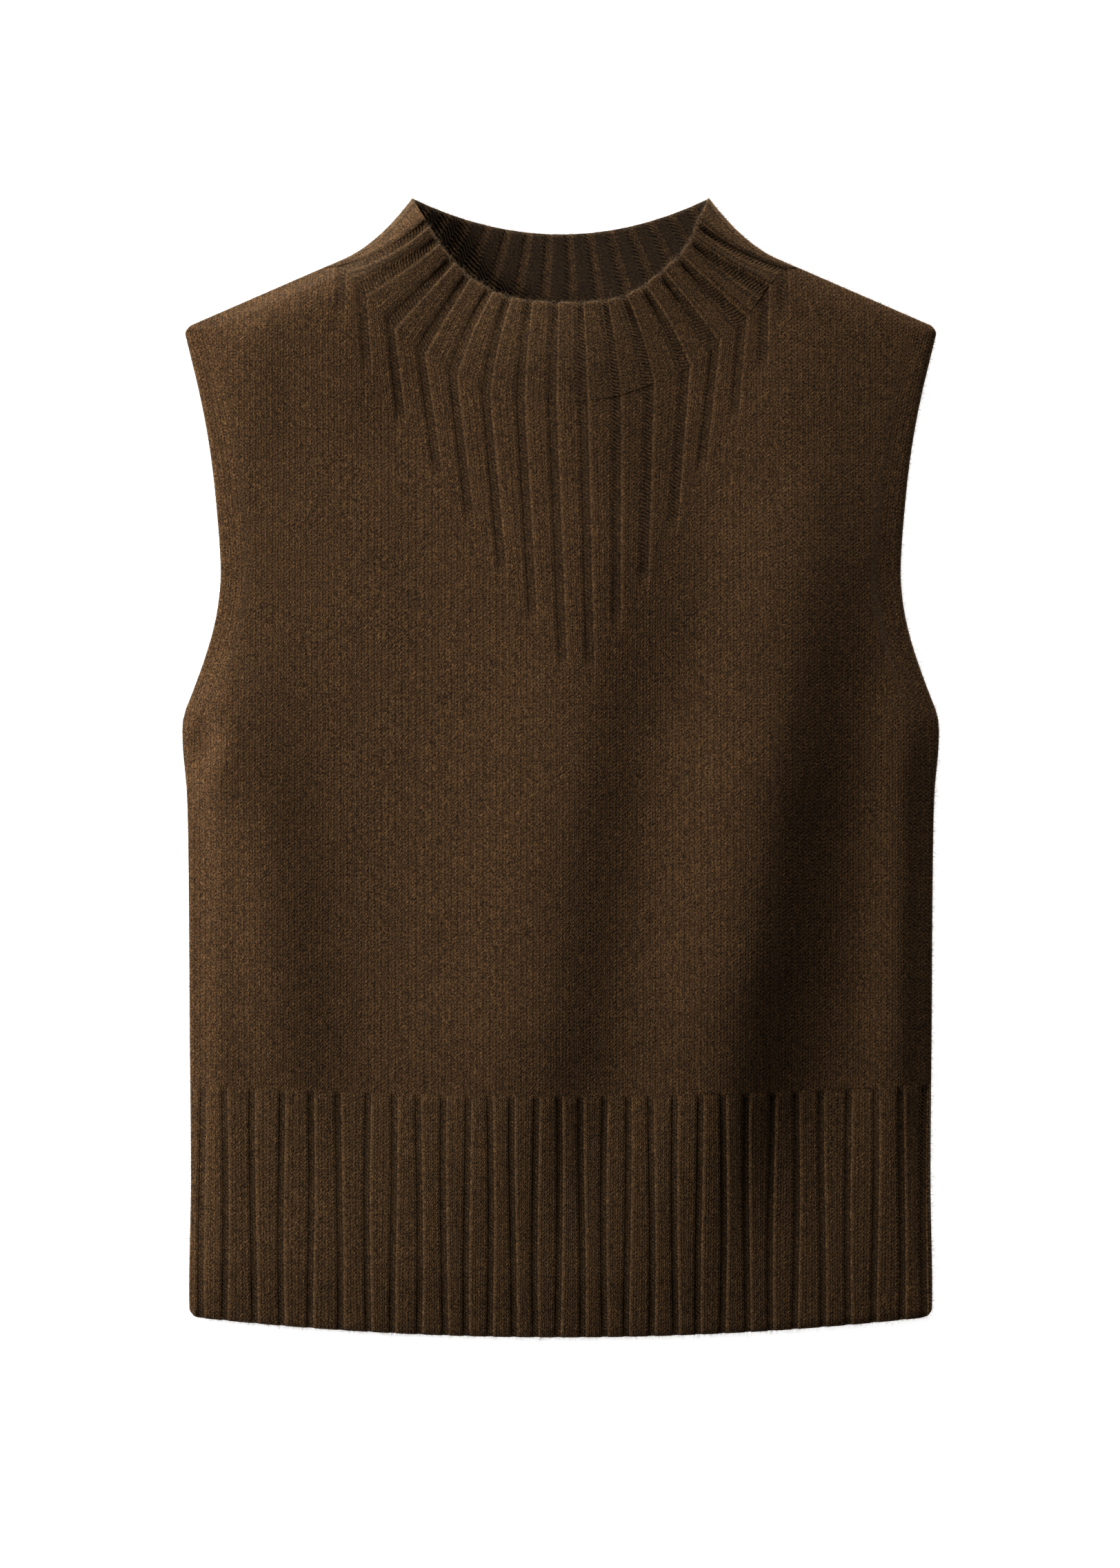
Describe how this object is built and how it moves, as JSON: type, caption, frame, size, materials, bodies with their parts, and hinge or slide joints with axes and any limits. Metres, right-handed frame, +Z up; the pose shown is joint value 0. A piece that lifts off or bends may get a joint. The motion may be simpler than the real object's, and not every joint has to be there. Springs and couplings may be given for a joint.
{
  "type": "knitted sweater vest",
  "caption": "Sleeveless knitted wool sweater vest with a ribbed funnel collar, a pointed rib yoke and a deep ribbed hem, laid flat with its front up.",
  "frame": {"origin": "middle of the bounding box's base, on the surface that the vest lies on", "axes": "+X to the right seen from above the front, +Y from the hem to the collar, +Z up from the surface through the back panel and then the front panel"},
  "size_m": [0.438, 0.66, 0.0151],
  "materials": {
    "knit": "plain knit wool, soft and slightly fuzzy",
    "rib": "ribbed knit wool, soft and slightly fuzzy",
    "collar_rib": "ribbed knit wool, soft and slightly fuzzy"
  },
  "bodies": {
    "root": {"front_body": "knit", "back_body": "knit", "front_hem_rib": "rib", "back_hem_rib": "rib", "collar": "collar_rib"}
  },
  "joints": []
}
